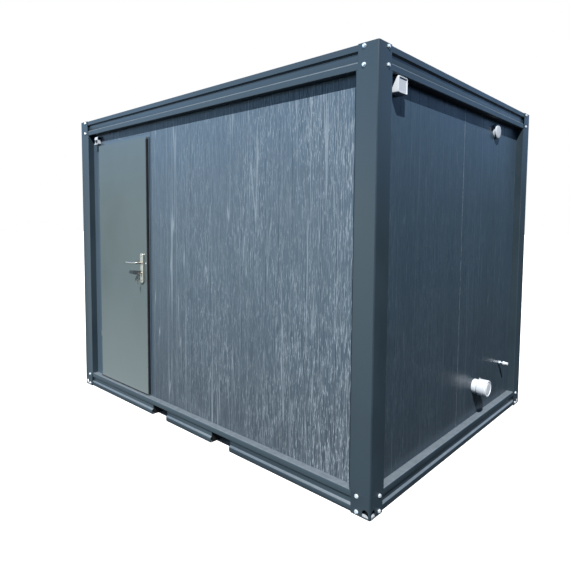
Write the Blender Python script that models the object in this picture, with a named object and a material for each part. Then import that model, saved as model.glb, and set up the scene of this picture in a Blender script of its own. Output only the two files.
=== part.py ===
"""Portable steel-frame cabin: bolt-together frame, sandwich walls and one outward-opening door.

Metres, +Z up. The origin is at ground level in the middle of the cabin. The long wall with the
door faces -Y, and the service connections are on the +X wall. Run in Blender 4.5.
"""
import math

import bmesh
import bpy
from mathutils import Matrix, Vector

# ---------------------------------------------------------------- overall frame
LENGTH = 3.200            # outside, along X
WIDTH = 2.400             # outside, along Y
HEIGHT = 2.484            # ground to the top of the frame
SHEET = 0.004             # wall of every folded steel section
GAP = 0.0003              # between pieces that touch
RUNNING_GAP = 0.005       # between the moving door and what stays still
CUT_MARGIN = 0.050        # how far a cutter reaches past what it cuts

# ---------------------------------------------------------------- corner posts
POST_LIP = 0.022          # from the inner wall face to the far edge of the post face
POST_NOTCH = 0.012        # the post is this much narrower where it laps over a rail
POST_CORNER_RADIUS = 0.009
POST_BEND_RADIUS = 0.005
LIFT_HOLE_WIDTH = 0.040   # arched lifting hole at the foot of each post face
LIFT_HOLE_HEIGHT = 0.042
LIFT_HOLE_EDGE = 0.012    # from the corner of the cabin to the hole
LIFT_HOLE_SILL = 0.007    # metal left under the hole

# ---------------------------------------------------------------- rails
ROOF_RAIL_HEIGHT = 0.131
FLOOR_RAIL_CROWN = 0.0385 # floor rail above the roof of the fork pockets
ROOF_RAIL_OUTER_LIP = 0.0345
ROOF_RAIL_WALL_LIP = 0.0365
FLOOR_RAIL_OUTER_LIP = 0.0370
FLOOR_RAIL_WALL_LIP = 0.0375
RAIL_GROOVE_DEPTH = 0.012
RAIL_GROOVE_SLOPE = 0.010
RAIL_FLANGE = 0.060       # width of the flange on the outer edge
RAIL_BEND_RADIUS = 0.006
FOOT_PLATE = 0.004        # the posts stand this much lower than the rails
FOOT_CLEAR = 0.062        # floor rails stop this far from the corner, behind the lifting holes

# ---------------------------------------------------------------- fork pockets and floor frame
FORK_PITCH = 0.742
FORK_WIDTH = 0.196
FORK_HEIGHT = 0.0865
FORK_SHIFT = 0.008        # pocket pair off the middle, towards +X
FLOOR_BEAM_WIDTH = 0.050
FLOOR_BEAM_COUNT = 3
FLOOR_BEAM_END = 0.300    # from the outside of the cabin to the end beams
UNDERLAY_THICKNESS = 0.025
DECK_THICKNESS = 0.022

# ---------------------------------------------------------------- walls, ceiling and roof
WALL_RECESS = 0.054       # wall face behind the face of the frame
WALL_THICKNESS = 0.060
CEILING_THICKNESS = 0.018
ROOF_DROP = 0.020         # roof skin below the top of the frame
BACK_PANEL_COUNT = 3
SIDE_PANEL_COUNT = 2
FRONT_PANEL_COUNT = 2     # between the door and the +X post

# ---------------------------------------------------------------- door
DOOR_HINGE_SIDE = 0.278   # outside face of the -X posts to the hinge edge of the leaf
DOOR_WIDTH = 0.776
DOOR_HEADER = 0.1085      # from the top of the leaf to the roof rail
DOOR_LAP_THICKNESS = 0.017
DOOR_INNER_THICKNESS = 0.022
DOOR_LAP = 0.016          # leaf edge over the door frame
DOOR_FRAME_SHOW = 0.030   # door frame seen beside the leaf
DOOR_FRAME_PROUD = 0.002
THRESHOLD_HEIGHT = 0.026
DOOR_SWING_GAP = 0.008    # lock side, where the inner edge swings through
HINGE_RADIUS = 0.008
HINGE_KNUCKLE = 0.045     # length of each half
HINGE_PLAY = 0.001
HINGE_INSET = 0.375       # from the ends of the leaf to the hinges
HINGE_CLEAR = 0.002       # between the knuckles and the edge of the leaf
HANDLE_BACKSET = 0.070    # lock edge of the leaf to the middle of the handle plate
HANDLE_PLATE_WIDTH = 0.046
HANDLE_PLATE_HEIGHT = 0.246
HANDLE_PLATE_THICKNESS = 0.013
HANDLE_SPINDLE = 1.231    # height of the levers
HANDLE_PLATE_DROP = 0.046 # from the spindle down to the middle of the plate
HANDLE_CYLINDER_DROP = 0.084
LEVER_LENGTH = 0.165
LEVER_RADIUS = 0.0095
LEVER_REACH = 0.048       # spindle end to the middle of the lever
LEVER_PLAY = 0.0005

# ---------------------------------------------------------------- connections
INLET_FROM_CORNER = 0.200 # from the -Y corner, along the +X wall
INLET_WIDTH = 0.098
INLET_HEIGHT = 0.090
INLET_DEPTH = 0.053
INLET_BELOW_RAIL = 0.003
PORT_FROM_LEAF = 0.052    # small cable port, this far past the hinge edge of the door
PORT_WIDTH = 0.048
PORT_HEIGHT = 0.074
PORT_DEPTH = 0.038
PORT_ABOVE_LEAF = 0.016
VENT_FROM_BACK = 0.627    # from the +Y corner, like the waste and water connections
VENT_BELOW_RAIL = 0.085   # to the middle of the vent
VENT_RADIUS = 0.056
VENT_DEPTH = 0.026
WASTE_FROM_BACK = 0.897
WASTE_HEIGHT = 0.354
WASTE_PIPE_RADIUS = 0.053
WASTE_CAP_RADIUS = 0.061
WASTE_REACH = 0.110       # wall face to the end of the cap
WASTE_CAP_LENGTH = 0.072
WATER_FROM_BACK = 0.381
WATER_HEIGHT = 0.425
WATER_RADIUS = 0.016
WATER_REACH = 0.076

# ---------------------------------------------------------------- values that follow
HALF_LENGTH = LENGTH / 2
HALF_WIDTH = WIDTH / 2
RAIL_FACE = SHEET + GAP
WALL_INNER = WALL_RECESS + WALL_THICKNESS
POST_FACE = WALL_INNER + POST_LIP
POST_TAB = POST_FACE - POST_NOTCH
FLOOR_RAIL_HEIGHT = FORK_HEIGHT + FLOOR_RAIL_CROWN
WALL_BOTTOM = FLOOR_RAIL_HEIGHT + GAP
WALL_TOP = HEIGHT - ROOF_RAIL_HEIGHT - GAP
BEAM_BOTTOM = FOOT_PLATE + GAP
UNDERLAY_TOP = FLOOR_RAIL_HEIGHT - GAP
BEAM_TOP = UNDERLAY_TOP - UNDERLAY_THICKNESS - GAP
DECK_TOP = FLOOR_RAIL_HEIGHT + DECK_THICKNESS
HINGE_EDGE = -HALF_LENGTH + DOOR_HINGE_SIDE
LOCK_EDGE = HINGE_EDGE + DOOR_WIDTH
DOOR_BOTTOM = FLOOR_RAIL_HEIGHT + RUNNING_GAP + GAP
DOOR_TOP = HEIGHT - ROOF_RAIL_HEIGHT - DOOR_HEADER
FRAME_FACE = -HALF_WIDTH + WALL_RECESS - DOOR_FRAME_PROUD
LAP_BACK = FRAME_FACE - RUNNING_GAP
DOOR_FACE = LAP_BACK - DOOR_LAP_THICKNESS
HINGE_X = HINGE_EDGE - HINGE_CLEAR - HINGE_RADIUS
HINGE_Y = DOOR_FACE + HINGE_RADIUS
HANDLE_X = LOCK_EDGE - HANDLE_BACKSET
HANDLE_PLATE_MIDDLE = HANDLE_SPINDLE - HANDLE_PLATE_DROP
HANDLE_CYLINDER = HANDLE_SPINDLE - HANDLE_CYLINDER_DROP


# ---------------------------------------------------------------- helpers
def new_collection(name):
    group = bpy.data.collections.new(name)
    bpy.context.scene.collection.children.link(group)
    return group


def material(name, colour, roughness, metallic=0.0):
    made = bpy.data.materials.new(name)
    made.use_nodes = True
    shader = made.node_tree.nodes["Principled BSDF"]
    shader.inputs["Base Color"].default_value = (*colour, 1.0)
    shader.inputs["Roughness"].default_value = roughness
    shader.inputs["Metallic"].default_value = metallic
    return made


def put(thing, group, finish):
    """Move an object into one collection and give it its material."""
    for owner in list(thing.users_collection):
        owner.objects.unlink(thing)
    group.objects.link(thing)
    thing.data.materials.clear()
    thing.data.materials.append(finish)
    if group is CUTTERS:
        thing.hide_render = True
        thing.display_type = "WIRE"
    return thing


def box(name, low, high, finish, group=None):
    """A plain block between two corners."""
    low = Vector(low)
    high = Vector(high)
    bpy.ops.mesh.primitive_cube_add(size=1.0, location=(low + high) / 2)
    thing = bpy.context.active_object
    thing.name = name
    size = high - low
    thing.data.transform(Matrix.Diagonal((size.x, size.y, size.z, 1.0)))
    return put(thing, group or PARTS, finish)


def rod(name, start, end, radius, finish, group=None, sides=24):
    """A round bar between two points."""
    start = Vector(start)
    end = Vector(end)
    along = end - start
    bpy.ops.mesh.primitive_cylinder_add(vertices=sides, radius=radius, depth=along.length)
    thing = bpy.context.active_object
    thing.name = name
    turn = along.to_track_quat("Z", "Y").to_matrix().to_4x4()
    thing.data.transform(turn)
    thing.location = (start + end) / 2
    thing.data.shade_smooth()
    thing.data.set_sharp_from_angle(angle=math.radians(40))
    return put(thing, group or PARTS, finish)


def extrusion(name, outline, half_length, finish, group=None):
    """A flat outline in X and Y, given thickness along Z and turned into a welded mesh."""
    curve = bpy.data.curves.new(name, "CURVE")
    curve.dimensions = "2D"
    curve.fill_mode = "BOTH"
    curve.extrude = half_length
    spline = curve.splines.new("POLY")
    spline.points.add(len(outline) - 1)
    for point, (x, y) in zip(spline.points, outline):
        point.co = (x, y, 0.0, 1.0)
    spline.use_cyclic_u = True
    drawn = bpy.data.objects.new(name + "_outline", curve)
    bpy.context.scene.collection.objects.link(drawn)
    bpy.context.view_layer.update()
    seen = drawn.evaluated_get(bpy.context.evaluated_depsgraph_get())
    mesh = bpy.data.meshes.new_from_object(seen)
    bpy.data.objects.remove(drawn)
    weld(mesh)
    thing = bpy.data.objects.new(name, mesh)
    bpy.context.scene.collection.objects.link(thing)
    return put(thing, group or PARTS, finish)


def weld(mesh):
    """Join loose caps to their sides and point every face outwards."""
    work = bmesh.new()
    work.from_mesh(mesh)
    bmesh.ops.remove_doubles(work, verts=work.verts, dist=0.00001)
    bmesh.ops.recalc_face_normals(work, faces=work.faces)
    work.to_mesh(mesh)
    work.free()


def place(thing, rows):
    """Send mesh X, Y and Z to the world directions in rows, with an offset in the last row."""
    turn = Matrix((rows[0], rows[1], rows[2])).transposed().to_4x4()
    thing.data.transform(Matrix.Translation(rows[3]) @ turn)
    weld(thing.data)
    return thing


def combine(target, tool, operation):
    """Cut or join with a tool kept in the cutters' collection."""
    change = target.modifiers.new(operation.title(), "BOOLEAN")
    change.operation = operation
    change.solver = "EXACT"
    change.object = tool
    return target


def cut(target, *tools):
    for tool in tools:
        combine(target, tool, "DIFFERENCE")
    return target


def join(target, *tools):
    for tool in tools:
        combine(target, tool, "UNION")
    return target


def arc(middle, radius, start, end, steps):
    """Points on an arc, angles in degrees, both ends included."""
    points = []
    for step in range(steps + 1):
        angle = math.radians(start + (end - start) * step / steps)
        points.append((middle[0] + radius * math.cos(angle), middle[1] + radius * math.sin(angle)))
    return points


# ---------------------------------------------------------------- frame
def post_outline():
    """Plan of a folded post: two faces, a rounded corner and a return flange on each side."""
    outer = POST_CORNER_RADIUS
    inner = outer - SHEET
    bend = POST_BEND_RADIUS
    far = POST_FACE
    back = WALL_INNER
    half = [(far, back)]
    half += arc((far - bend, bend), bend, 0, -90, 3)
    half += arc((outer, outer), outer, 270, 225, 4)
    mirrored = [(y, x) for x, y in reversed(half[:-1])]
    near = far - SHEET
    inside = [(back, near), (SHEET, near)]
    inside += arc((outer, outer), inner, 180, 270, 6)
    inside += [(near, SHEET), (near, back)]
    return half + mirrored + inside


def foot_outline():
    """Plan of a foot: two plates that meet at the rounded corner and lap over the floor rails."""
    outer = POST_CORNER_RADIUS
    outside = [(POST_TAB, 0.0)] + arc((outer, outer), outer, 270, 180, 8) + [(0.0, POST_TAB)]
    inside = [(SHEET, POST_TAB)] + arc((outer, outer), outer - SHEET, 180, 270, 6)
    return outside + inside + [(POST_TAB, SHEET)]


def bake(thing):
    """Turn the object's modifiers into its mesh."""
    bpy.context.view_layer.update()
    seen = thing.evaluated_get(bpy.context.evaluated_depsgraph_get())
    mesh = bpy.data.meshes.new_from_object(seen)
    thing.modifiers.clear()
    thing.data = mesh
    return put(thing, PARTS, FRAME_STEEL)


def to_corner(thing, side_x, side_y, middle):
    """Turn a piece drawn at one corner so that it fits another one, at this height."""
    return place(thing, ((-side_x, 0, 0), (0, -side_y, 0), (0, 0, 1),
                         (side_x * HALF_LENGTH, side_y * HALF_WIDTH, middle)))


def corner_post(name, side_x, side_y):
    """One post, standing on its foot, with the flanges cut back at the roof rails."""
    bottom = FLOOR_RAIL_HEIGHT + GAP
    half = (HEIGHT - bottom) / 2
    post = extrusion(name, post_outline(), half, FRAME_STEEL)
    low = half - ROOF_RAIL_HEIGHT - GAP
    high = half + CUT_MARGIN
    reach = POST_FACE + CUT_MARGIN
    for turn in (0, 1):
        near = [POST_TAB, -CUT_MARGIN]
        if turn:
            near.reverse()
        cut(post, box(f"{name}_notch_{turn}", (*near, low), (reach, reach, high),
                      FRAME_STEEL, CUTTERS))
    return to_corner(bake(post), side_x, side_y, bottom + half)


def corner_foot(name, side_x, side_y):
    """The foot of a post: its plates, the plate it stands on and two arched lifting holes."""
    half = FLOOR_RAIL_HEIGHT / 2
    foot = extrusion(name, foot_outline(), half, FRAME_STEEL)
    join(foot, box(f"{name}_plate", (SHEET / 2, SHEET / 2, -half),
                   (WALL_INNER, WALL_INNER, FOOT_PLATE - half), FRAME_STEEL, CUTTERS))
    radius = LIFT_HOLE_WIDTH / 2
    middle = LIFT_HOLE_EDGE + radius
    bottom = LIFT_HOLE_SILL - half
    top = bottom + LIFT_HOLE_HEIGHT
    for turn in (0, 1):
        hole = extrusion(f"{name}_hole_{turn}",
                         [(middle + radius, bottom)]
                         + arc((middle, top - radius), radius, 0, 180, 10)
                         + [(middle - radius, bottom)], POST_CORNER_RADIUS - 0.001,
                         FRAME_STEEL, CUTTERS)
        across = ((0, 1, 0), (1, 0, 0))[turn]
        through = ((1, 0, 0), (0, 1, 0))[turn]
        place(hole, (across, (0, 0, 1), through, (0, 0, 0)))
        cut(foot, hole)
    return to_corner(bake(foot), side_x, side_y, half)


def rail_outline(height, outer_lip, wall_lip):
    """Section of a rail: X is depth into the cabin, Y runs from its outer edge to the wall."""
    face = RAIL_FACE
    groove = face + RAIL_GROOVE_DEPTH
    steps = [(face, outer_lip), (groove, outer_lip + RAIL_GROOVE_SLOPE),
             (groove, height - wall_lip - RAIL_GROOVE_SLOPE), (face, height - wall_lip)]
    bend = RAIL_BEND_RADIUS
    outside = [(RAIL_FLANGE, 0.0)] + arc((face + bend, bend), bend, 270, 180, 3) + steps
    outside += arc((face + bend, height - bend), bend, 180, 90, 3) + [(WALL_INNER, height)]
    inside = [(WALL_INNER, height - SHEET), (face + SHEET, height - SHEET)]
    inside += [(x + SHEET, y) for x, y in reversed(steps)]
    inside += [(face + SHEET, SHEET), (RAIL_FLANGE, SHEET)]
    return outside + inside


def rail(name, run, sizes, start, upward, side, corner_clear):
    """A rail mitred at both ends, so that four of them close a ring behind the posts."""
    half = run / 2
    thing = extrusion(name, rail_outline(*sizes), half, FRAME_STEEL)
    for vertex in thing.data.vertices:
        from_corner = max(vertex.co.x, corner_clear) + GAP
        vertex.co.z = math.copysign(half - from_corner, vertex.co.z)
    inward = Vector(side)
    along = Vector((-inward.y, inward.x, 0))
    width = HALF_WIDTH if inward.x == 0 else HALF_LENGTH
    offset = -inward * width + Vector((0, 0, start))
    return place(thing, (tuple(inward), (0, 0, upward), tuple(along), tuple(offset)))


def fork_middles():
    return [FORK_SHIFT - FORK_PITCH / 2, FORK_SHIFT + FORK_PITCH / 2]


def fork_cutters(side):
    """Cutters for one floor rail: the pocket in its web, and room for the sleeve behind it."""
    tools = []
    face = -side * HALF_WIDTH
    web = RAIL_FACE + RAIL_GROOVE_DEPTH + SHEET + GAP
    sleeve = FORK_WIDTH / 2 + SHEET + GAP
    for number, middle in enumerate(fork_middles()):
        for part, (half, start, end, top) in enumerate((
                (FORK_WIDTH / 2, -0.01, web, FORK_HEIGHT),
                (sleeve, web, RAIL_FLANGE + 0.01, FORK_HEIGHT + SHEET + GAP))):
            ends = sorted((face + side * start, face + side * end))
            tools.append(box(f"fork_cut_{side}_{number}_{part}", (middle - half, ends[0], -0.01),
                             (middle + half, ends[1], top), FRAME_STEEL, CUTTERS))
    return tools


def fork_sleeve(name, middle):
    """An upturned channel that guides a fork right through the floor frame."""
    half = FORK_WIDTH / 2
    outer = half + SHEET
    bottom = BEAM_BOTTOM
    top = FORK_HEIGHT
    outline = [(-outer, bottom), (-outer, top + SHEET), (outer, top + SHEET), (outer, bottom),
               (half, bottom), (half, top), (-half, top), (-half, bottom)]
    web = RAIL_FACE + RAIL_GROOVE_DEPTH + SHEET + 2 * GAP
    thing = extrusion(name, outline, HALF_WIDTH - web, FRAME_STEEL)
    return place(thing, ((1, 0, 0), (0, 0, 1), (0, 1, 0), (middle, 0, 0)))


def floor_beam(name, middle):
    """A channel across the floor frame, open towards +X."""
    half = FLOOR_BEAM_WIDTH / 2
    low = BEAM_BOTTOM
    high = BEAM_TOP
    outline = [(-half, low), (-half, high), (half, high), (half, high - SHEET),
               (-half + SHEET, high - SHEET), (-half + SHEET, low + SHEET),
               (half, low + SHEET), (half, low)]
    thing = extrusion(name, outline, HALF_WIDTH - RAIL_FLANGE - GAP, FRAME_STEEL)
    return place(thing, ((1, 0, 0), (0, 0, 1), (0, 1, 0), (middle, 0, 0)))


def build_frame():
    for name_x, side_x in (("left", -1), ("right", 1)):
        for name_y, side_y in (("front", -1), ("back", 1)):
            corner_foot(f"corner_foot_{name_y}_{name_x}", side_x, side_y)
            corner_post(f"corner_post_{name_y}_{name_x}", side_x, side_y)
    floor_sizes = (FLOOR_RAIL_HEIGHT - BEAM_BOTTOM, FLOOR_RAIL_OUTER_LIP - BEAM_BOTTOM,
                   FLOOR_RAIL_WALL_LIP)
    roof_sizes = (ROOF_RAIL_HEIGHT, ROOF_RAIL_OUTER_LIP, ROOF_RAIL_WALL_LIP)
    for name, inward, run in (("front", (0, 1, 0), LENGTH), ("back", (0, -1, 0), LENGTH),
                              ("left", (1, 0, 0), WIDTH), ("right", (-1, 0, 0), WIDTH)):
        rail(f"roof_rail_{name}", run, roof_sizes, HEIGHT, -1, inward, POST_CORNER_RADIUS)
        low = rail(f"floor_rail_{name}", run, floor_sizes, BEAM_BOTTOM, 1, inward, FOOT_CLEAR)
        if inward[1]:
            cut(low, *fork_cutters(inward[1]))
    for name, middle in zip(("left", "right"), fork_middles()):
        fork_sleeve(f"fork_sleeve_{name}", middle)
    spread = LENGTH - 2 * FLOOR_BEAM_END
    for number in range(FLOOR_BEAM_COUNT):
        middle = -spread / 2 + spread * number / (FLOOR_BEAM_COUNT - 1)
        floor_beam(f"floor_beam_{number + 1}", middle)


# ---------------------------------------------------------------- floor, ceiling and roof
def slab(name, inset, low, high, finish):
    """A flat slab that stops the same distance inside all four faces of the cabin."""
    return box(name, (-HALF_LENGTH + inset, -HALF_WIDTH + inset, low),
               (HALF_LENGTH - inset, HALF_WIDTH - inset, high), finish)


def build_slabs():
    inside = WALL_INNER + GAP
    slab("floor_underlay", inside, UNDERLAY_TOP - UNDERLAY_THICKNESS, UNDERLAY_TOP, ZINC_SHEET)
    slab("floor_deck", inside, WALL_BOTTOM, DECK_TOP, FLOOR_VINYL)
    ceiling_low = HEIGHT - ROOF_RAIL_HEIGHT
    ceiling_high = ceiling_low + CEILING_THICKNESS
    slab("ceiling_panel", inside, ceiling_low, ceiling_high, INNER_WHITE)
    slab("roof_panel", RAIL_FLANGE + GAP, ceiling_high + GAP, HEIGHT - ROOF_DROP, ZINC_SHEET)


# ---------------------------------------------------------------- walls
def wall_run(stem, side, start, end, count, low=WALL_BOTTOM, high=WALL_TOP):
    """Equal panels side by side. side is the outward direction of the wall."""
    width = (end - start) / count
    made = []
    for number in range(count):
        name = stem if count == 1 else f"{stem}_{number + 1}"
        first = start + width * number + GAP / 2
        last = start + width * (number + 1) - GAP / 2
        if side[0]:
            faces = sorted(side[0] * (HALF_LENGTH - depth) for depth in (WALL_RECESS, WALL_INNER))
            made.append(box(name, (faces[0], first, low), (faces[1], last, high), WALL_SKIN))
        else:
            faces = sorted(side[1] * (HALF_WIDTH - depth) for depth in (WALL_RECESS, WALL_INNER))
            made.append(box(name, (first, faces[0], low), (last, faces[1], high), WALL_SKIN))
    return made


def build_walls():
    post_x = HALF_LENGTH - POST_FACE - GAP
    post_y = HALF_WIDTH - POST_FACE - GAP
    frame_low = HINGE_EDGE - DOOR_FRAME_SHOW - GAP
    frame_high = LOCK_EDGE + DOOR_FRAME_SHOW + GAP
    frame_top = DOOR_TOP + DOOR_FRAME_SHOW + GAP
    wall_run("front_wall_strip", (0, -1), -post_x, frame_low, 1)
    wall_run("front_wall_header", (0, -1), frame_low, frame_high, 1, low=frame_top)
    wall_run("front_wall", (0, -1), frame_high, post_x, FRONT_PANEL_COUNT)
    wall_run("back_wall", (0, 1), -post_x, post_x, BACK_PANEL_COUNT)
    wall_run("left_wall", (-1, 0), -post_y, post_y, SIDE_PANEL_COUNT)
    wall_run("right_wall", (1, 0), -post_y, post_y, SIDE_PANEL_COUNT)


# ---------------------------------------------------------------- door
def build_door_frame():
    back = -HALF_WIDTH + WALL_INNER
    outer_low = HINGE_EDGE - DOOR_FRAME_SHOW
    outer_high = LOCK_EDGE + DOOR_FRAME_SHOW
    outer_top = DOOR_TOP + DOOR_FRAME_SHOW
    clear_low = HINGE_EDGE + DOOR_LAP
    clear_high = LOCK_EDGE - DOOR_LAP
    clear_top = DOOR_TOP - DOOR_LAP
    box("door_jamb_hinge", (outer_low, FRAME_FACE, WALL_BOTTOM), (clear_low, back, outer_top),
        DOOR_STEEL)
    box("door_jamb_lock", (clear_high, FRAME_FACE, WALL_BOTTOM), (outer_high, back, outer_top),
        DOOR_STEEL)
    box("door_head", (clear_low + GAP, FRAME_FACE, clear_top), (clear_high - GAP, back, outer_top),
        DOOR_STEEL)
    box("door_threshold", (clear_low + GAP, FRAME_FACE, WALL_BOTTOM),
        (clear_high - GAP, back, FLOOR_RAIL_HEIGHT + THRESHOLD_HEIGHT), ZINC_SHEET)


def hinge_heights():
    return (("lower", DOOR_BOTTOM + HINGE_INSET), ("upper", DOOR_TOP - HINGE_INSET))


def build_door_leaf():
    """A leaf whose outer skin laps over the frame, with the leaf halves of both hinges."""
    leaf = box("door_leaf", (HINGE_EDGE, DOOR_FACE, DOOR_BOTTOM), (LOCK_EDGE, LAP_BACK, DOOR_TOP),
               DOOR_STEEL)
    core_low = HINGE_EDGE + DOOR_LAP + RUNNING_GAP
    core_high = LOCK_EDGE - DOOR_LAP - DOOR_SWING_GAP
    core_bottom = FLOOR_RAIL_HEIGHT + THRESHOLD_HEIGHT + RUNNING_GAP
    core_top = DOOR_TOP - DOOR_LAP - RUNNING_GAP
    core = box("door_core", (core_low, LAP_BACK - 0.002, core_bottom),
               (core_high, LAP_BACK + DOOR_INNER_THICKNESS, core_top), DOOR_STEEL, CUTTERS)
    join(leaf, core)
    for name, height in hinge_heights():
        start = height + HINGE_PLAY
        knuckle = rod(f"leaf_knuckle_{name}", (HINGE_X, HINGE_Y, start),
                      (HINGE_X, HINGE_Y, start + HINGE_KNUCKLE), HINGE_RADIUS, HINGE_STEEL,
                      CUTTERS, sides=20)
        wing = box(f"leaf_wing_{name}", (HINGE_X, DOOR_FACE + 0.002, start + 0.002),
                   (HINGE_EDGE + 0.010, DOOR_FACE + 0.008, start + HINGE_KNUCKLE - 0.002),
                   HINGE_STEEL, CUTTERS)
        join(leaf, knuckle, wing)
    return leaf


def build_frame_hinges():
    """The halves fixed to the hinge jamb: a knuckle under the leaf's one and a plate to it."""
    for name, height in hinge_heights():
        low = height - HINGE_KNUCKLE
        knuckle = rod(f"hinge_{name}", (HINGE_X, HINGE_Y, low), (HINGE_X, HINGE_Y, height),
                      HINGE_RADIUS, HINGE_STEEL, sides=20)
        wing = box(f"hinge_wing_{name}", (HINGE_X - 0.003, HINGE_Y, low + 0.002),
                   (HINGE_X + 0.003, FRAME_FACE - GAP, height - 0.002), HINGE_STEEL, CUTTERS)
        join(knuckle, wing)


def lever(name, face, outward):
    """A lever whose neck leaves the plate and bends towards the hinge side."""
    start = Vector((HANDLE_X, face + outward * LEVER_PLAY, HANDLE_SPINDLE))
    neck = Vector((HANDLE_X, face + outward * LEVER_REACH, HANDLE_SPINDLE))
    tip = neck + Vector((-LEVER_LENGTH, 0, 0))
    grip = rod(name, neck + Vector((LEVER_RADIUS * 0.8, 0, 0)), tip, LEVER_RADIUS, STAINLESS, sides=16)
    stem = rod(f"{name}_stem", start, neck, LEVER_RADIUS, STAINLESS, CUTTERS, sides=20)
    return join(grip, stem)


def handle_plate(name, face, outward):
    """A backplate with the lock cylinder standing proud of it."""
    far = face + outward * HANDLE_PLATE_THICKNESS
    ends = sorted((face, far))
    half = HANDLE_PLATE_WIDTH / 2
    low = HANDLE_PLATE_MIDDLE - HANDLE_PLATE_HEIGHT / 2
    high = HANDLE_PLATE_MIDDLE + HANDLE_PLATE_HEIGHT / 2
    plate = box(name, (HANDLE_X - half, ends[0], low), (HANDLE_X + half, ends[1], high), STAINLESS)
    cylinder = rod(f"{name}_cylinder", (HANDLE_X, face + outward * 0.002, HANDLE_CYLINDER),
                   (HANDLE_X, far + outward * 0.006, HANDLE_CYLINDER), 0.0085, STAINLESS, CUTTERS,
                   sides=20)
    return join(plate, cylinder)


def build_door():
    build_door_frame()
    build_door_leaf()
    build_frame_hinges()
    outer = DOOR_FACE - GAP
    inner = LAP_BACK + DOOR_INNER_THICKNESS + GAP
    handle_plate("handle_plate_outer", outer, -1)
    handle_plate("handle_plate_inner", inner, 1)
    lever("lever_outer", outer - HANDLE_PLATE_THICKNESS, -1)
    lever("lever_inner", inner + HANDLE_PLATE_THICKNESS, 1)


# ---------------------------------------------------------------- connections
def build_connections():
    wall = HALF_LENGTH - WALL_RECESS + GAP
    inlet_y = -HALF_WIDTH + INLET_FROM_CORNER
    inlet_top = HEIGHT - ROOF_RAIL_HEIGHT - INLET_BELOW_RAIL
    box("power_inlet_box", (wall, inlet_y, inlet_top - INLET_HEIGHT),
        (wall + INLET_DEPTH, inlet_y + INLET_WIDTH, inlet_top), WHITE_PLASTIC)
    port_x = HINGE_EDGE - PORT_FROM_LEAF
    port_low = DOOR_TOP + PORT_ABOVE_LEAF
    box("cable_port_box", (port_x, FRAME_FACE - GAP - PORT_DEPTH, port_low),
        (port_x + PORT_WIDTH, FRAME_FACE - GAP, port_low + PORT_HEIGHT), WHITE_PLASTIC)
    vent_y = HALF_WIDTH - VENT_FROM_BACK
    vent_z = HEIGHT - ROOF_RAIL_HEIGHT - VENT_BELOW_RAIL
    rod("vent_cap", (wall, vent_y, vent_z), (wall + VENT_DEPTH, vent_y, vent_z),
        VENT_RADIUS, WHITE_PLASTIC, sides=40)
    waste_y = HALF_WIDTH - WASTE_FROM_BACK
    split = wall + WASTE_REACH - WASTE_CAP_LENGTH
    rod("waste_pipe", (wall, waste_y, WASTE_HEIGHT), (split, waste_y, WASTE_HEIGHT),
        WASTE_PIPE_RADIUS, WHITE_PLASTIC, sides=40)
    rod("waste_cap", (split + GAP, waste_y, WASTE_HEIGHT),
        (wall + WASTE_REACH, waste_y, WASTE_HEIGHT), WASTE_CAP_RADIUS, WHITE_PLASTIC, sides=40)
    water_y = HALF_WIDTH - WATER_FROM_BACK
    rod("water_inlet", (wall, water_y, WATER_HEIGHT),
        (wall + WATER_REACH, water_y, WATER_HEIGHT), WATER_RADIUS, WHITE_PLASTIC, sides=24)


for leftover in list(bpy.data.objects):
    bpy.data.objects.remove(leftover, do_unlink=True)

PARTS = new_collection("portable_cabin")
CUTTERS = new_collection("cutters")
FRAME_STEEL = material("anthracite_frame_steel", (0.045, 0.066, 0.085), 0.32, 0.0)
WALL_SKIN = material("anthracite_wall_skin", (0.020, 0.036, 0.060), 0.25, 0.0)
DOOR_STEEL = material("anthracite_door_steel", (0.085, 0.130, 0.150), 0.30, 0.0)
ZINC_SHEET = material("galvanised_sheet", (0.45, 0.47, 0.48), 0.40, 0.9)
FLOOR_VINYL = material("grey_vinyl_floor", (0.25, 0.25, 0.24), 0.55, 0.0)
INNER_WHITE = material("white_inner_lining", (0.80, 0.80, 0.78), 0.50, 0.0)
STAINLESS = material("brushed_stainless", (0.62, 0.60, 0.57), 0.28, 1.0)
HINGE_STEEL = material("zinc_hinge_steel", (0.55, 0.56, 0.57), 0.35, 1.0)
WHITE_PLASTIC = material("white_moulded_plastic", (0.82, 0.84, 0.86), 0.40, 0.0)

build_frame()
build_slabs()
build_walls()
build_door()
build_connections()
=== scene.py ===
"""Portable cabin: skins, finishes, fittings and the stage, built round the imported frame."""
import math

import bmesh
import bpy
from mathutils import Matrix, Vector


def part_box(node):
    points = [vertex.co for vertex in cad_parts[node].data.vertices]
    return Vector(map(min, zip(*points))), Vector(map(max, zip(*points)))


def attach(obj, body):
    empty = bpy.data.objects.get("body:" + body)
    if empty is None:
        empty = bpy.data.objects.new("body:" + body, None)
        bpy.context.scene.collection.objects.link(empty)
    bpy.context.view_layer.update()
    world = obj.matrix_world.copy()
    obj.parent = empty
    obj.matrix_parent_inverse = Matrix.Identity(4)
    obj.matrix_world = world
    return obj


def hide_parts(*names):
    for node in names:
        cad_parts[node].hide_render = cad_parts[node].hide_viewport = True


bl_info = {
    "name": "Portable cabin finish",
    "version": (1, 0, 0),
    "blender": (4, 5, 0),
    "location": "3D View > Sidebar > Cabin",
    "description": "Dresses the packed cabin frame with skins, fittings and finishes",
    "category": "Object",
}

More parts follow.
